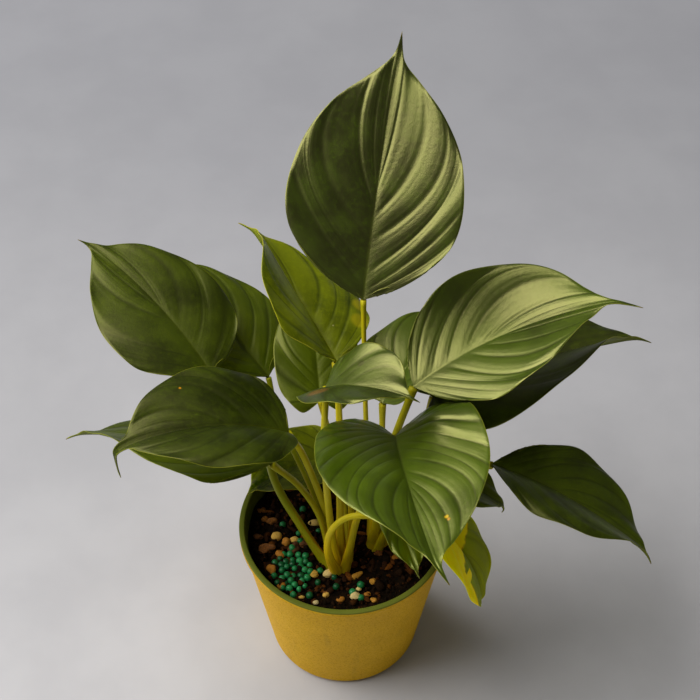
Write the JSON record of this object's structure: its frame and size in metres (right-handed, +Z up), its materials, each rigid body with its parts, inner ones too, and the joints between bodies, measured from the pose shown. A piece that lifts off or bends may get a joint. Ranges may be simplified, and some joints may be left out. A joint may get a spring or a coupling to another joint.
{
  "type": "potted emerald gem homalomena",
  "caption": "Leafy aroid house plant with heart-shaped, drip-tipped blades on long stalks, standing in soil in a tapered round nursery pot.",
  "frame": {"origin": "middle of the pot's flat base, on the surface it stands on", "axes": "+Z up; -Y is the front, where the heart-shaped leaf hangs over the rim; +X is to the right seen from the front"},
  "size_m": [0.2846, 0.2195, 0.3009],
  "materials": {
    "pot": "satin",
    "soil": "matte",
    "leaf": "satin",
    "leaf_young": "satin",
    "leaf_yellow": "satin",
    "stalk": "satin"
  },
  "bodies": {
    "root": {"pot": "pot", "soil": "soil", "leaf_top": "leaf", "stalk_top": "stalk", "leaf_right_upper": "leaf", "stalk_right_upper": "stalk", "leaf_right_lower": "leaf", "stalk_right_lower": "stalk", "leaf_left_front": "leaf", "stalk_left_front": "stalk", "leaf_left_back": "leaf", "stalk_left_back": "stalk", "leaf_young": "leaf_young", "stalk_young": "stalk", "leaf_front_left": "leaf", "stalk_front_left": "stalk", "leaf_low_left": "leaf", "stalk_low_left": "stalk", "leaf_centre": "leaf", "stalk_centre": "stalk", "leaf_back_centre": "leaf", "stalk_back_centre": "stalk", "leaf_heart": "leaf", "stalk_heart": "stalk", "leaf_right_front": "leaf", "stalk_right_front": "stalk", "leaf_under_heart": "leaf", "stalk_under_heart": "stalk", "leaf_yellowing": "leaf_yellow", "stalk_yellowing": "stalk", "leaf_small_front": "leaf", "stalk_small_front": "stalk", "leaf_back_right": "leaf", "stalk_back_right": "stalk", "leaf_rim": "leaf", "stalk_rim": "stalk"}
  },
  "joints": []
}
